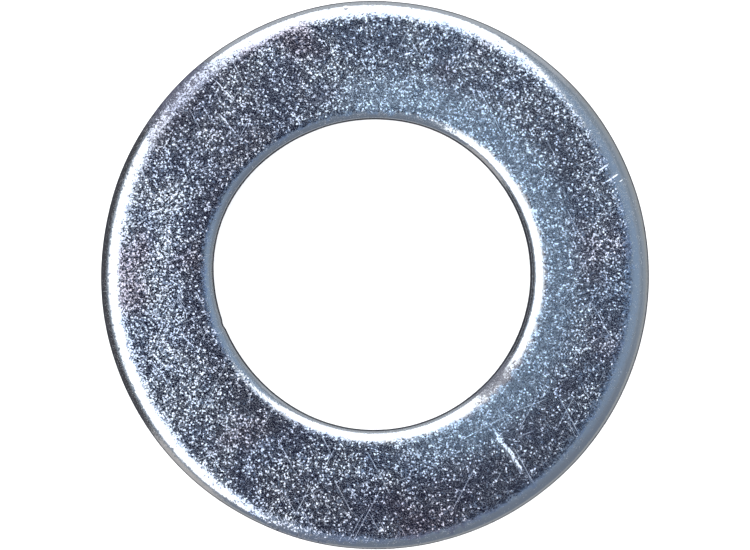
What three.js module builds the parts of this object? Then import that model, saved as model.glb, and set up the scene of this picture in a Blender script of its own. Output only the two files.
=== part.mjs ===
// Flat washer, punched from steel strip and zinc plated, for an M16 bolt (ISO 7089, DIN 125-1 form A).
// Millimetres, +Z up. Z is the axis of the hole and Z = 0 is the lower face, where the burr side lies.
// A plain washer is one piece of steel, so the group holds one mesh.
import * as THREE from "three";

// Sizes. The standard gives the hole as 17 mm at least and 17.27 mm at most.
const OUTSIDE_DIAMETER = 30;
const HOLE_DIAMETER = 17.15;
const THICKNESS = 3;

// Punching draws both edges of the upper face down into a roll, a quarter of an ellipse in section.
const OUTER_ROLL = { width: 0.88, depth: 0.5 };
const HOLE_ROLL = { width: 0.5, depth: 0.29 };

// Below each roll the wall is first cut clean at the full size and then torn.
// The torn stretch leans off the full size, so the washer is a little smaller and its hole a little wider below.
const TORN_HEIGHT = 1.15;
const TORN_LEAN = 0.08;

// Tumbling takes the burr off each lower edge and leaves a small flat break.
const EDGE_BREAK = 0.06;

// Fineness of the faceted solid.
const SIDES = 96;
const ROLL_STEPS = 6;

// Zinc plate.
const ZINC = { color: 0x8d949d, roughness: 0.34, metalness: 1 };

// One wall of the washer in section, from the lower face up to the upper face.
// outward is +1 on the outside, where material ends as the radius grows, and -1 in the hole.
function wallPoints(radius, roll, outward) {
  const tornRadius = radius - outward * TORN_LEAN;
  const points = [
    new THREE.Vector2(tornRadius - outward * EDGE_BREAK, 0),
    new THREE.Vector2(tornRadius, EDGE_BREAK),
    new THREE.Vector2(radius, TORN_HEIGHT),
  ];
  for (let step = 0; step <= ROLL_STEPS; step += 1) {
    const turn = (step / ROLL_STEPS) * (Math.PI / 2);
    const inset = roll.width * (1 - Math.cos(turn));
    const drop = roll.depth * (1 - Math.sin(turn));
    points.push(new THREE.Vector2(radius - outward * inset, THICKNESS - drop));
  }
  return points;
}

// The closed section: up the outside, in along the upper face, down the hole and out along the lower face.
function washerSection() {
  const outside = wallPoints(OUTSIDE_DIAMETER / 2, OUTER_ROLL, 1);
  const hole = wallPoints(HOLE_DIAMETER / 2, HOLE_ROLL, -1);
  return [...outside, ...hole.reverse(), outside[0].clone()];
}

function washer() {
  const geometry = new THREE.LatheGeometry(washerSection(), SIDES);
  geometry.rotateX(Math.PI / 2);
  const mesh = new THREE.Mesh(geometry, new THREE.MeshStandardMaterial(ZINC));
  mesh.name = "washer";
  return mesh;
}

const flatWasher = new THREE.Group();
flatWasher.name = "flat_washer";
flatWasher.add(washer());

export default flatWasher;
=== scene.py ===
import math

import bpy
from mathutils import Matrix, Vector, noise


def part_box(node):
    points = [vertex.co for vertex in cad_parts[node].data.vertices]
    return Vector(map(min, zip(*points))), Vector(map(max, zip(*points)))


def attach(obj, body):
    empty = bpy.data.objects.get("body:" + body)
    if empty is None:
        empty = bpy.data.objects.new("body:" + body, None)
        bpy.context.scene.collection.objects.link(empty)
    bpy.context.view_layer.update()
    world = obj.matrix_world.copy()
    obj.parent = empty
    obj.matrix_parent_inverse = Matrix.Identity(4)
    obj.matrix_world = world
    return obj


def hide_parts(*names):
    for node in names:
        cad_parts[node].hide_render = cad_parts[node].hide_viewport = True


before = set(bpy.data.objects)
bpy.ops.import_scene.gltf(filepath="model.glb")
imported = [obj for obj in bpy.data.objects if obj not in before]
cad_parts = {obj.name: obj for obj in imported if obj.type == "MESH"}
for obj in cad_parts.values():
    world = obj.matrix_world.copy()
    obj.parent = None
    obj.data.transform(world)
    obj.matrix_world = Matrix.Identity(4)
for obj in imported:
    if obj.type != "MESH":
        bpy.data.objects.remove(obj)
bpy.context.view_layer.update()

# A flat washer of zinc-plated steel, seen from straight above. Metres, +Z up, Z along the axis of the hole.
# The upper face is the side that both punches drew down, so its two edges are rolled; the burr side is below.
# Both angles, in radians, and the directions called towards, in degrees, turn from +X towards +Y.

MM = 0.001
DEGREE = math.pi / 180

# The washer's own sizes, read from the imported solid.
low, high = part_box("washer")
OUTSIDE_RADIUS = (high[0] - low[0]) / 2
BOTTOM = low[2]
TOP = high[2]
HOLE_RADIUS = min(math.hypot(v.co.x, v.co.y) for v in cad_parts["washer"].data.vertices)

# How a punched hole strays from its drawing, inside its tolerances: it sits off centre and has soft lobes.
HOLE_SHIFT = 0.14 * MM
HOLE_SHIFT_TOWARDS = 157
HOLE_LOBES = ((2, 0.09 * MM, -10), (3, 0.05 * MM, 47), (4, 0.03 * MM, -12))
HOLE_KINK = 0.05 * MM
HOLE_KINK_TOWARDS = 198
HOLE_KINK_HALF = 2.5

# The rolled edges. The face already leans a little over the onset before each roll, and the grain ends there.
# A roll's reach is its width and its onset together, and its depth is a share of that.
OUTER_GRAIN_END = 0.42 * MM
HOLE_GRAIN_END = 0.30 * MM
OUTER_DEPTH_SHARE = 0.47
HOLE_DEPTH_SHARE = 0.42

# The walls below the rolls: cut clean at first, then torn down to the lower edge, which is broken.
TORN_HEIGHT = 1.15 * MM
TORN_LEAN = 0.07 * MM
TORN_CURVE = 1.5
TORN_GRAIN = 0.018 * MM
TORN_FADE = 0.2
BREAK = 0.07 * MM

# Waves in the surface: how far they go, how large their lumps are, and a seed that keeps each to itself.
RIM_WAVE = (0.03 * MM, 5 * MM, 3)
TORN_TOP_WAVES = ((0.28 * MM, 1.6 * MM, 7), (0.10 * MM, 0.4 * MM, 9))
TEARS = ((0.22 * MM, 5), (0.5 * MM, 11))
FACE_WAVE = 0.004 * MM
FACE_LUMP = 3 * MM
UPPER_SEED = 1
LOWER_SEED = 2

# What the mesh tells the material at each point. flat is how far inside the grainy flat the point lies, in
# millimetres, and is negative on a smooth roll or wall. torn and cut say which band of the wall it is on.
# lively is how steep the grain is, dull is how soft it is, and dark is how far the zinc has darkened.
# A band gives the first three, and a skin gives the last three.
LAYERS = ("flat", "torn", "cut", "lively", "dull", "dark")
TORN_BAND = (-1, 1, 0)
CUT_BAND = (-1, 0, 1)
WALL_SKIN = (0.8, 0.0, 0.0)
LOWER_SKIN = (0.9, 0.2, 0.0)

# Fineness of the mesh, as counts of points.
AROUND = 720
LOWER_FACE_POINTS = 14
BREAK_POINTS = 3
TORN_POINTS = 9
CUT_POINTS = 7
ROLL_POINTS = 18
UPPER_FACE_POINTS = 28


# ---------------------------------------------------------------- shape


def smooth(value, start, end):
    """0 before start, 1 after end, and an easy curve between."""
    t = min(1.0, max(0.0, (value - start) / (end - start)))
    return t * t * (3 - 2 * t)


def wavy(x, y, z, size, seed):
    """Smooth noise between about -1 and 1 whose lumps are size across."""
    return noise.noise(Vector((x / size + seed, y / size - seed, z / size + 2 * seed)))


def plateau(angle, towards, full, none):
    """1 while an angle is within full degrees of the direction towards, and 0 beyond none."""
    away = abs((angle - towards * DEGREE + math.pi) % (2 * math.pi) - math.pi)
    return 1 - smooth(away, full * DEGREE, none * DEGREE)


def near(angle, towards, half):
    """1 at the direction towards, falling to 0 half degrees to each side."""
    return plateau(angle, towards, 0, half)


def outer_roll_width(angle):
    """Wider across the strip's own grain than along it."""
    return (0.88 + 0.22 * math.cos(2 * angle) + 0.05 * math.cos(angle) + 0.10 * math.sin(angle)) * MM


def outer_onset(angle):
    """How much of the face leans over before the outer roll."""
    return (0.42 + 0.16 * near(angle, 215, 45) - 0.07 * near(angle, 145, 25)) * MM


def hole_roll_width(angle):
    """Widest at the right and at the lower right."""
    return (0.48 + 0.08 * math.cos(2 * angle) + 0.11 * math.cos(angle) - 0.12 * math.sin(angle)) * MM


def hole_onset(angle):
    """How much of the face leans over before the roll at the hole."""
    return (0.49 + 0.02 * math.cos(angle) + 0.14 * near(angle, 44, 46)) * MM


def grain_reach(angle):
    """How much further, in millimetres, the grain runs on over the outer roll: at two places all over it."""
    return 1.3 * near(angle, 137, 17) + 0.7 * near(angle, 252, 14)


def dullness(angle, share):
    """How soft the grain is: softest at the right of the hole. share is 0 at the rim and 1 at the hole."""
    return plateau(angle, 12, 65, 125) * (0.45 + 0.55 * smooth(share, 0.35, 1.0))


def patina(angle, share):
    """How far the zinc has darkened with handling, 0 to 1: most along the rim at the bottom."""
    below = near(angle, 288, 76) * (1 - smooth(share, 0.3, 0.95))
    hole_left = 0.5 * plateau(angle, 197, 35, 75) * smooth(share, 0.62, 0.95)
    upper_left = 0.45 * near(angle, 130, 42)
    upper_right = 0.45 * near(angle, 36, 34) * smooth(1 - share, 0.15, 0.5)
    left = 0.22 * plateau(angle, 190, 50, 80)
    rim_upper_left = 0.6 * near(angle, 141, 22) * (1 - smooth(share, 0, 0.14))
    return min(1.0, below + hole_left + upper_left + upper_right + left + rim_upper_left)


def sparkle(angle, share):
    """How steep the facets of the grain are: steepest at the left and along the rim at the bottom."""
    lively = 0.77 + 0.43 * plateau(angle, 168, 15, 65)
    lively += 0.34 * near(angle, 268, 58) * (1 - smooth(share, 0.4, 1.0))
    return lively * (1 - 0.10 * dullness(angle, share))


def skin_at(angle, share):
    return sparkle(angle, share), dullness(angle, share), patina(angle, share)


def face_wave(angle, radius, side, seed):
    """How far a face strays from its plane, always inwards. side is 1 on the upper face, -1 on the lower."""
    return FACE_WAVE * (wavy(radius * math.cos(angle), radius * math.sin(angle), 0, FACE_LUMP, seed) - side)


def hole_radius(angle):
    radius = HOLE_RADIUS + HOLE_SHIFT * math.cos(angle - HOLE_SHIFT_TOWARDS * DEGREE)
    for lobes, size, towards in HOLE_LOBES:
        radius += size * math.cos(lobes * (angle - towards * DEGREE))
    return radius + HOLE_KINK * near(angle, HOLE_KINK_TOWARDS, HOLE_KINK_HALF)


def wall_rows(angle, radius, outward, reach, depth, grain_end, skin):
    """One wall from its lower break up to where the upper face starts, as (radius, height, *LAYERS) rows.

    outward is 1 on the outside and -1 in the hole. The roll goes in over the face by reach and down the wall
    by depth. The grain ends at grain_end from the flat of the face, and skin is how it looks there.
    """
    x, y = radius * math.cos(angle), radius * math.sin(angle)
    far, size, seed = RIM_WAVE
    radius += outward * far * (wavy(x, y, 0, size, seed) - 0.5)
    torn_top = TORN_HEIGHT
    for far, size, seed in TORN_TOP_WAVES:
        torn_top += far * wavy(x, y, 0, size, seed)
    rows = []
    for step in range(BREAK_POINTS):
        turn = step / BREAK_POINTS * math.pi / 2
        inset = TORN_LEAN + BREAK * (1 - math.sin(turn))
        height = BREAK * (1 - math.cos(turn))
        rows.append((radius - outward * inset, BOTTOM + height, *TORN_BAND, *WALL_SKIN))
    for step in range(TORN_POINTS):
        share = step / TORN_POINTS
        height = BREAK + (torn_top - BREAK) * share
        tear = sum(wavy(x, y, height, size, seed) for size, seed in TEARS)
        rough = TORN_GRAIN * smooth(share, 0, TORN_FADE) * smooth(1 - share, 0, TORN_FADE) * (1 + tear)
        inset = TORN_LEAN * (1 - share) ** TORN_CURVE + rough
        rows.append((radius - outward * inset, BOTTOM + height, *TORN_BAND, *WALL_SKIN))
    cut_height = TOP - depth - BOTTOM - torn_top
    for step in range(CUT_POINTS):
        height = BOTTOM + torn_top + cut_height * step / CUT_POINTS
        rows.append((radius, height, *CUT_BAND, *WALL_SKIN))
    for step in range(ROLL_POINTS):
        turn = (1 - step / ROLL_POINTS) * math.pi / 2
        along = reach * math.sin(turn)
        inset = reach - along
        flat = (grain_end - along) / MM
        rows.append((radius - outward * inset, TOP - depth * (1 - math.cos(turn)), flat, 0, 0, *skin))
    return rows


def section(angle):
    """The closed section at one angle: up the outside, in along the upper face, down the hole, out below."""
    hole = hole_radius(angle)
    outer_reach = outer_roll_width(angle) + outer_onset(angle)
    hole_reach = hole_roll_width(angle) + hole_onset(angle)
    outer_depth, hole_depth = OUTER_DEPTH_SHARE * outer_reach, HOLE_DEPTH_SHARE * hole_reach
    grain_end = OUTER_GRAIN_END + grain_reach(angle) * MM
    outside = wall_rows(angle, OUTSIDE_RADIUS, 1, outer_reach, outer_depth, grain_end, skin_at(angle, 0))
    inside = wall_rows(angle, hole, -1, hole_reach, hole_depth, HOLE_GRAIN_END, skin_at(angle, 1))
    start = OUTSIDE_RADIUS - outer_reach
    end = hole + hole_reach
    rows = list(outside)
    for step in range(UPPER_FACE_POINTS):
        share = step / (UPPER_FACE_POINTS - 1)
        radius = start + (end - start) * share
        height = TOP + face_wave(angle, radius, 1, UPPER_SEED)
        flat = min(start - radius + grain_end, radius - end + HOLE_GRAIN_END)
        rows.append((radius, height, flat / MM, 0, 0, *skin_at(angle, share)))
    rows += reversed(inside)
    start, end = inside[0][0], outside[0][0]
    for step in range(1, LOWER_FACE_POINTS):
        radius = start + (end - start) * step / LOWER_FACE_POINTS
        height = BOTTOM + face_wave(angle, radius, -1, LOWER_SEED)
        rows.append((radius, height, min(radius - start, end - radius) / MM, 0, 0, *LOWER_SKIN))
    return rows


def washer_mesh():
    """The sections in turn, joined into one closed ring."""
    points, faces, values = [], [], []
    for index in range(AROUND):
        angle = 2 * math.pi * index / AROUND
        for radius, height, *told in section(angle):
            points.append((radius * math.cos(angle), radius * math.sin(angle), height))
            values.append(told)
    count = len(points) // AROUND
    for index in range(AROUND):
        here, there = index * count, (index + 1) % AROUND * count
        for step in range(count):
            after = (step + 1) % count
            faces.append((here + step, there + step, there + after, here + after))
    mesh = bpy.data.meshes.new("washer_ring")
    mesh.from_pydata(points, [], faces)
    for column, name in enumerate(LAYERS):
        layer = mesh.attributes.new(name, "FLOAT", "POINT")
        layer.data.foreach_set("value", [told[column] for told in values])
    mesh.polygons.foreach_set("use_smooth", [True] * len(faces))
    mesh.update()
    return mesh


# ---------------------------------------------------------------- nodes


class Graph:
    """Short names for the few kinds of node that the material and the backdrop use."""

    def __init__(self, tree):
        self.tree = tree
        tree.nodes.clear()

    def add(self, kind, **settings):
        node = self.tree.nodes.new(kind)
        for key, value in settings.items():
            setattr(node, key, value)
        return node

    def feed(self, socket, value):
        if isinstance(value, bpy.types.NodeSocket):
            self.tree.links.new(value, socket)
        else:
            socket.default_value = value

    def math(self, operation, a, b=0.0):
        node = self.add("ShaderNodeMath", operation=operation)
        self.feed(node.inputs[0], a)
        self.feed(node.inputs[1], b)
        return node.outputs[0]

    def times(self, *values):
        result = values[0]
        for value in values[1:]:
            result = self.math("MULTIPLY", result, value)
        return result

    def plus(self, *values):
        result = values[0]
        for value in values[1:]:
            result = self.math("ADD", result, value)
        return result

    def vector(self, operation, a, b):
        node = self.add("ShaderNodeVectorMath", operation=operation)
        self.feed(node.inputs[0], a)
        self.feed(node.inputs[1], b)
        return node.outputs[0]

    def dot(self, a, b):
        node = self.add("ShaderNodeVectorMath", operation="DOT_PRODUCT")
        self.feed(node.inputs[0], a)
        self.feed(node.inputs[1], b)
        return node.outputs["Value"]

    def stretch(self, place, factors, turn=0.0):
        """place with each axis scaled by its factor, after a turn about Z."""
        node = self.add("ShaderNodeMapping", vector_type="POINT")
        self.feed(node.inputs["Vector"], place)
        node.inputs["Rotation"].default_value = (0, 0, turn)
        scaled = self.add("ShaderNodeVectorMath", operation="MULTIPLY")
        self.feed(scaled.inputs[0], node.outputs[0])
        scaled.inputs[1].default_value = factors
        return scaled.outputs[0]

    def ramp(self, value, start, end, low=0.0, high=1.0):
        """low before start, high after end, and an easy curve between. start may be the larger one."""
        node = self.add("ShaderNodeMapRange", interpolation_type="SMOOTHSTEP")
        for socket, given in zip(node.inputs, (value, start, end, low, high), strict=False):
            self.feed(socket, given)
        return node.outputs[0]

    def noise(self, place, per_metre=1.0, detail=0.0, roughness=0.5):
        node = self.add("ShaderNodeTexNoise")
        self.feed(node.inputs["Vector"], place)
        node.inputs["Scale"].default_value = per_metre
        node.inputs["Detail"].default_value = detail
        node.inputs["Roughness"].default_value = roughness
        return node.outputs["Fac"]

    def blend(self, share, a, b):
        node = self.add("ShaderNodeMix", data_type="RGBA")
        colours = [socket for socket in node.inputs if socket.type == "RGBA"]
        self.feed(node.inputs[0], share)
        self.feed(colours[0], a)
        self.feed(colours[1], b)
        return next(socket for socket in node.outputs if socket.type == "RGBA")

    def attribute(self, name):
        return self.add("ShaderNodeAttribute", attribute_name=name).outputs["Fac"]


# ---------------------------------------------------------------- material

FACETS_PER_METRE = 12000
FACET_SLOPE = 0.42
FLAT_FACETS_WHERE_DARK = 0.66
LEAST_STEEP, MOST_STEEP = 0.25, 1.5
GRAIN_ROUGHNESS = 0.06
DULL_ROUGHNESS = 0.26
ROLL_ROUGHNESS = 0.10
TORN_ROUGHNESS = 0.3
CUT_ROUGHNESS = 0.1

# What is left of the grain on the rolls and the walls.
ROLL_GRAIN = 0.16

# How far the borders of the facets are swirled, and how high each finer kind of relief is.
SWIRL = 0.08 * MM
GRIT = 0.013 * MM
RIPPLES = 0.005 * MM
TEAR_RELIEF = 0.035 * MM
SCORES = 0.007 * MM
HAIRLINE_DEPTH = 0.0045 * MM

# How many lumps of noise to a metre. Scores and hairlines are lumps stretched along one axis.
CLUMPS_PER_METRE = 420
FLECKS_PER_METRE = 3200
BORDER_PER_METRE = 2000
SWIRL_PER_METRE = 7000
GRIT_PER_METRE = 9000
RIPPLES_PER_METRE = 2500
TEARS_PER_METRE = 5000
WANDER_PER_METRE = 1800
PLUM_PER_METRE = 190
SCORES_PER_METRE = (6000, 6000, 350)
HAIRLINES_PER_METRE = (260, 9500, 260)

BLUE_ZINC = (0.66, 0.77, 0.97, 1)
PALE_ZINC = (0.75, 0.83, 0.95, 1)
PLUM_ZINC = (0.60, 0.51, 0.62, 1)
DARK_ZINC = (0.44, 0.37, 0.45, 1)
DULL_ZINC = (0.63, 0.80, 1.0, 1)
ROLLED_ZINC = (0.75, 0.77, 0.80, 1)

# Marks on the upper face, in millimetres from the axis: from x, y to x, y, then how wide and how deep.
# The side of each groove that lies to the right of its way is the steep one.
SCRATCHES = (
    (6.3, -8.25, 8.15, -10.8, 0.16, 0.060),
    (8.2, -10.8, 8.9, -11.6, 0.050, 0.008),
    (7.4, -7.55, 4.4, -9.15, 0.045, 0.009),
    (12.75, 6.1, 12.2, 5.7, 0.070, 0.022),
    (13.3, 5.55, 12.6, 5.05, 0.070, 0.022),
    (13.65, 5.35, 13.3, 5.05, 0.060, 0.018),
    (-8.6, 8.85, -7.5, 7.65, 0.065, 0.020),
    (-8.8, 10.75, -7.6, 9.4, 0.050, 0.014),
    (-9.8, -0.8, -9.0, -2.5, 0.040, 0.010),
    (-12.3, -4.1, -11.2, -5.2, 0.070, 0.020),
    (-12.2, -4.7, -11.4, -5.6, 0.060, 0.016),
)
# Small dents at the rim: x, y, how wide across and how deep, in millimetres.
DENTS = (
    (-1.60, 14.62, 0.13, 0.07),
    (-5.55, 13.58, 0.08, 0.04),
    (-6.95, 12.95, 0.10, 0.04),
    (-8.05, 12.30, 0.09, 0.04),
)
DENT_SPREAD = 1.5
# The hairlines that tumbling leaves: towards which way, and above what level of the noise they start.
HAIRLINES = ((62, 0.765), (118, 0.775), (22, 0.79))
HAIRLINE_EDGE = 0.07


def facets(g, place, dark):
    """The height of a surface broken into fine facets that tilt each their own way. Dark ones lie flatter."""
    cells = g.add("ShaderNodeTexVoronoi", voronoi_dimensions="3D", feature="F1")
    g.feed(cells.inputs["Vector"], place)
    cells.inputs["Scale"].default_value = FACETS_PER_METRE
    lean = g.vector("SUBTRACT", cells.outputs["Color"], (0.5, 0.5, 0.5))
    flattest = g.ramp(dark, 0, 1, 0.0, FLAT_FACETS_WHERE_DARK)
    steepness = g.ramp(g.dot(cells.outputs["Color"], (0, 0, 1)), flattest, 1, LEAST_STEEP, MOST_STEEP)
    return g.times(g.dot(lean, g.vector("SUBTRACT", place, cells.outputs["Position"])), steepness)


def scratch(g, place, wander, x0, y0, x1, y1, width, depth):
    """How deep one scratch goes: a groove that wanders a little, is steep on one side and fades at its ends.

    along runs from 0 to 1 over its length, and aside from -1 to 1 across it.
    """
    frame_of = g.add("ShaderNodeMapping", vector_type="TEXTURE")
    g.feed(frame_of.inputs["Vector"], place)
    frame_of.inputs["Location"].default_value = (x0 * MM, y0 * MM, 0)
    frame_of.inputs["Rotation"].default_value = (0, 0, math.atan2(y1 - y0, x1 - x0))
    frame_of.inputs["Scale"].default_value = (math.hypot(x1 - x0, y1 - y0) * MM, width * MM, 1)
    along = g.dot(frame_of.outputs[0], (1, 0, 0))
    aside = g.plus(g.dot(frame_of.outputs[0], (0, 1, 0)), wander)
    ends = g.times(g.ramp(along, -0.05, 0.25), g.ramp(along, 0.75, 1.05, 1, 0))
    return g.times(g.ramp(aside, -1, -0.6), g.ramp(aside, -0.6, 1, depth * MM, 0), ends)


def dent(g, place, x, y, width, depth):
    """How deep one dent goes."""
    away = g.add("ShaderNodeVectorMath", operation="DISTANCE")
    g.feed(away.inputs[0], place)
    away.inputs[1].default_value = (x * MM, y * MM, TOP - depth * MM)
    return g.ramp(away.outputs["Value"], 0, DENT_SPREAD * width * MM, depth * MM, 0)


def hairlines(g, place):
    """Many fine straight scratches a few millimetres long, 0 to 1."""
    lines = []
    for towards, level in HAIRLINES:
        stretched = g.stretch(place, HAIRLINES_PER_METRE, -towards * DEGREE)
        lines.append(g.ramp(g.noise(stretched), level, level + HAIRLINE_EDGE))
    return g.plus(*lines)


def zinc_plate():
    """Bright zinc over tumbled steel: one metal, whose faces are covered in fine facets that sparkle."""
    material = bpy.data.materials.new("zinc_plate")
    material.use_nodes = True
    g = Graph(material.node_tree)
    place = g.add("ShaderNodeTexCoord").outputs["Object"]
    flat, torn, cut, lively, dull, dark = (g.attribute(name) for name in LAYERS)

    # Where the grain is: all over the faces, up to a ragged border where the smooth rolls begin.
    ragged = g.times(g.math("SUBTRACT", g.noise(place, BORDER_PER_METRE, detail=3), 0.5), 0.9)
    grain = g.ramp(g.plus(flat, ragged), -0.32, 0.12, ROLL_GRAIN, 1.0)
    clumps = g.noise(place, CLUMPS_PER_METRE, detail=2, roughness=0.6)
    flecks = g.noise(place, FLECKS_PER_METRE, detail=1)
    by_clump = g.ramp(clumps, 0.32, 0.68, 0.84, 1.18)
    by_fleck = g.ramp(flecks, 0.35, 0.65, 0.55, 1.35)
    strength = g.times(lively, grain, by_clump, by_fleck, FACET_SLOPE)

    # The facets, with borders that are not quite straight, and the finer relief on them and on the walls.
    swirl = g.add("ShaderNodeTexNoise")
    g.feed(swirl.inputs["Vector"], place)
    swirl.inputs["Scale"].default_value = SWIRL_PER_METRE
    swirled = g.vector("SUBTRACT", swirl.outputs["Color"], (0.5, 0.5, 0.5))
    shifted = g.vector("MULTIPLY", swirled, (SWIRL, SWIRL, SWIRL))
    facet_height = g.times(facets(g, g.vector("ADD", place, shifted), dark), strength)
    grit = g.times(g.noise(place, GRIT_PER_METRE, detail=1), strength, GRIT)
    ripples = g.times(g.noise(place, RIPPLES_PER_METRE, detail=2), RIPPLES)
    tears = g.times(g.noise(place, TEARS_PER_METRE, detail=3, roughness=0.6), torn, TEAR_RELIEF)
    scores = g.times(g.noise(g.stretch(place, SCORES_PER_METRE), detail=1), cut, SCORES)

    # The marks, cut into the upper face only.
    wander = g.noise(place, WANDER_PER_METRE, detail=2, roughness=0.7)
    wander = g.times(g.math("SUBTRACT", wander, 0.5), 2.2)
    upper = g.ramp(g.dot(place, (0, 0, 1)), TOP - 1.0 * MM, TOP - 0.5 * MM, 0, -1)
    marks = dent(g, place, *DENTS[0])
    for mark in DENTS[1:]:
        marks = g.plus(marks, dent(g, place, *mark))
    for mark in SCRATCHES:
        marks = g.plus(marks, scratch(g, place, wander, *mark))
    marks = g.times(marks, upper)
    hairs = g.times(hairlines(g, place), grain, -HAIRLINE_DEPTH)

    bump = g.add("ShaderNodeBump")
    bump.inputs["Strength"].default_value = 1.0
    bump.inputs["Distance"].default_value = 1.0
    g.feed(bump.inputs["Height"], g.plus(facet_height, grit, ripples, tears, scores, marks, hairs))

    # The colour of the zinc, clump by clump, and where it is plum, darkened, dull or rolled smooth.
    colour = g.blend(g.ramp(clumps, 0.35, 0.6), BLUE_ZINC, PALE_ZINC)
    plum = g.ramp(g.noise(place, PLUM_PER_METRE, detail=2), 0.54, 0.70, 0, 0.6)
    colour = g.blend(g.times(plum, grain), colour, PLUM_ZINC)
    colour = g.blend(g.times(dark, grain, 0.4), colour, DARK_ZINC)
    colour = g.blend(g.times(g.ramp(dull, 0.2, 1), grain), colour, DULL_ZINC)
    colour = g.blend(g.ramp(grain, ROLL_GRAIN, 0.7, 0.85, 0), colour, ROLLED_ZINC)

    shader = g.add("ShaderNodeBsdfPrincipled")
    shader.inputs["Metallic"].default_value = 1.0
    g.feed(shader.inputs["Base Color"], colour)
    skin = g.ramp(dull, 0, 1, GRAIN_ROUGHNESS, DULL_ROUGHNESS)
    skin = g.ramp(grain, ROLL_GRAIN, 1.0, ROLL_ROUGHNESS, skin)
    wall = g.times(torn, TORN_ROUGHNESS), g.times(cut, CUT_ROUGHNESS)
    g.feed(shader.inputs["Roughness"], g.plus(skin, *wall))
    g.feed(shader.inputs["Normal"], bump.outputs["Normal"])
    output = g.add("ShaderNodeOutputMaterial")
    g.feed(output.inputs["Surface"], shader.outputs[0])
    return material


def pale_floor():
    material = bpy.data.materials.new("pale_floor")
    material.use_nodes = True
    g = Graph(material.node_tree)
    shader = g.add("ShaderNodeBsdfDiffuse")
    shader.inputs["Color"].default_value = (0.9, 0.9, 0.9, 1)
    output = g.add("ShaderNodeOutputMaterial")
    g.feed(output.inputs["Surface"], shader.outputs[0])
    return material


# ---------------------------------------------------------------- pieces


def link(piece):
    bpy.context.scene.collection.objects.link(piece)
    return piece


washer = link(bpy.data.objects.new("washer_ring", washer_mesh()))
washer.data.materials.append(zinc_plate())
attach(washer, "root")
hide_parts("washer")


# ---------------------------------------------------------------- studio


def floor():
    """A pale sheet that the washer lies on. It is not mirrored in the metal."""
    half = 3.0
    gap = 0.02 * MM
    level = BOTTOM - gap
    mesh = bpy.data.meshes.new("floor")
    corners = [(-half, -half, level), (half, -half, level), (half, half, level), (-half, half, level)]
    mesh.from_pydata(corners, [], [(0, 1, 2, 3)])
    piece = link(bpy.data.objects.new("floor", mesh))
    piece.data.materials.append(pale_floor())
    piece.visible_glossy = False


def floor_wash():
    """Even light from above that only the floor shows."""
    light = bpy.data.lights.new("floor_wash", "SUN")
    light.angle = 120 * DEGREE
    light.energy = 6.0
    lamp = link(bpy.data.objects.new("floor_wash", light))
    lamp.location = (0, 0, 1)
    lamp.visible_camera = False
    lamp.visible_glossy = False


def compass(towards):
    """The level direction towards so many degrees."""
    return Vector((math.cos(towards * DEGREE), math.sin(towards * DEGREE), 0))


def sweep(g, way, towards):
    """How many degrees the direction way lies to the left of the direction towards."""
    left, ahead = g.dot(way, compass(towards + 90)), g.dot(way, compass(towards))
    return g.times(g.math("ARCTAN2", left, ahead), 1 / DEGREE)


def window(g, way, fall, towards, half, first, last, soft=3.0):
    """1 inside a patch of the room that reaches half degrees to each side of towards.

    first and last are how far off straight up it starts and ends, and soft is how gradual its border is.
    """
    inside = g.ramp(g.math("ABSOLUTE", sweep(g, way, towards)), half - soft, half + soft, 1, 0)
    start = g.ramp(fall, first - soft, first + 4 * soft)
    end = g.ramp(g.math("SUBTRACT", fall, last), -soft, soft, 1, 0)
    return g.times(inside, start, end)


# Colours of the room.
OVERHEAD = (0.014, 0.015, 0.030, 1)
CEILING = (0.27, 0.36, 0.48, 1)
WALLS = (0.33, 0.37, 0.41, 1)
GROOVE = (0.22, 0.27, 0.33, 1)
LOWER_SIDE = (0.19, 0.22, 0.27, 1)
HORIZON = (0.38, 0.39, 0.39, 1)
UNDERNEATH = (0.05, 0.05, 0.06, 1)
WINDOW_WHITE = (1.75, 1.8, 1.85, 1)

# Patches of the room, the later over the earlier: towards, half width, first and last, all in degrees, and
# their colour. They all reach straight down.
PATCHES = (
    (172, 43, 60, 190, (0.075, 0.073, 0.08, 1)),
    (225, 9, 60, 190, (0.55, 0.52, 0.5, 1)),
    (87, 42, 66, 190, (0.5, 0.52, 0.54, 1)),
    (137, 10, 3, 190, (0.23, 0.23, 0.27, 1)),
)
TOP_WINDOW = 84


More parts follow.
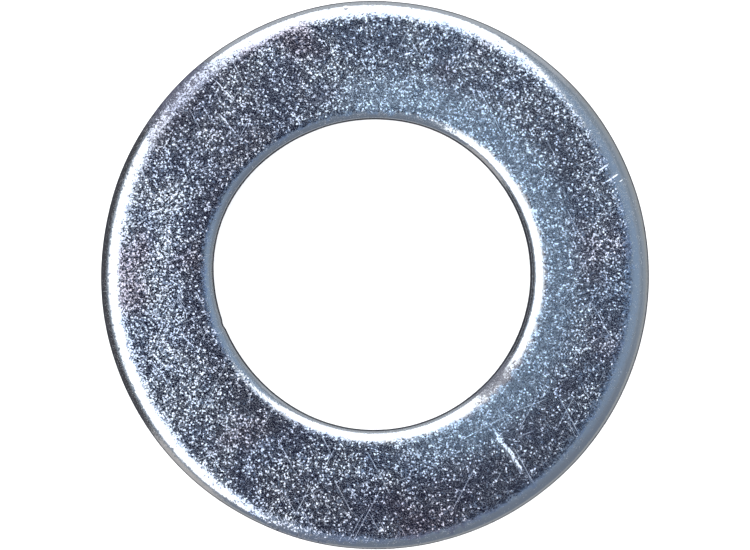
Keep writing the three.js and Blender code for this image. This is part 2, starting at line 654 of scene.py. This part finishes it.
def backdrop():
    """The room that the metal mirrors: a white window at the top, one at the left, and grey-blue elsewhere.

    fall is how many degrees a direction lies off straight up.
    """
    world = bpy.data.worlds.new("studio")
    bpy.context.scene.world = world
    world.use_nodes = True
    g = Graph(world.node_tree)
    way = g.add("ShaderNodeTexCoord").outputs["Generated"]
    fall = g.times(g.math("ARCCOSINE", g.dot(way, (0, 0, 1))), 1 / DEGREE)

    colour = g.blend(g.ramp(fall, 8, 34), OVERHEAD, CEILING)
    colour = g.blend(g.ramp(fall, 40, 58), colour, WALLS)
    groove = g.times(g.ramp(fall, 48, 60), g.ramp(fall, 60, 72, 1, 0))
    colour = g.blend(g.times(groove, 0.8), colour, GROOVE)
    lower_side = g.ramp(g.dot(way, compass(285)), 0.15, 0.75)
    colour = g.blend(lower_side, colour, LOWER_SIDE)
    colour = g.blend(g.ramp(fall, 78, 92), colour, HORIZON)
    colour = g.blend(window(g, way, fall, 296, 36, -10, 24, soft=5), colour, OVERHEAD)
    for *patch, tint in PATCHES:
        colour = g.blend(window(g, way, fall, *patch), colour, tint)
    top_last = g.ramp(sweep(g, way, TOP_WINDOW), -46, -12, 26, 66)
    colour = g.blend(window(g, way, fall, TOP_WINDOW, 46, 15, top_last), colour, WINDOW_WHITE)
    colour = g.blend(window(g, way, fall, 195, 50, 16, 54), colour, WINDOW_WHITE)
    colour = g.blend(g.ramp(fall, 108, 130), colour, UNDERNEATH)

    seen = g.add("ShaderNodeLightPath").outputs["Is Camera Ray"]
    shade = g.add("ShaderNodeBackground")
    g.feed(shade.inputs["Color"], g.blend(seen, colour, (1, 1, 1, 1)))
    output = g.add("ShaderNodeOutputWorld")
    g.feed(output.inputs["Surface"], shade.outputs[0])


def camera():
    """Straight above the upper face, and near enough for the wall of the hole to show a little."""
    distance = 0.25
    across = 40.9 * MM
    data = bpy.data.cameras.new("camera")
    data.sensor_width = 36
    data.lens = data.sensor_width * distance / across
    data.clip_start = 0.01
    data.clip_end = 20
    eye = link(bpy.data.objects.new("camera", data))
    eye.location = (0, 0, TOP + distance)
    bpy.context.scene.camera = eye


floor()
floor_wash()
backdrop()
camera()
bpy.context.scene.view_settings.view_transform = "Standard"
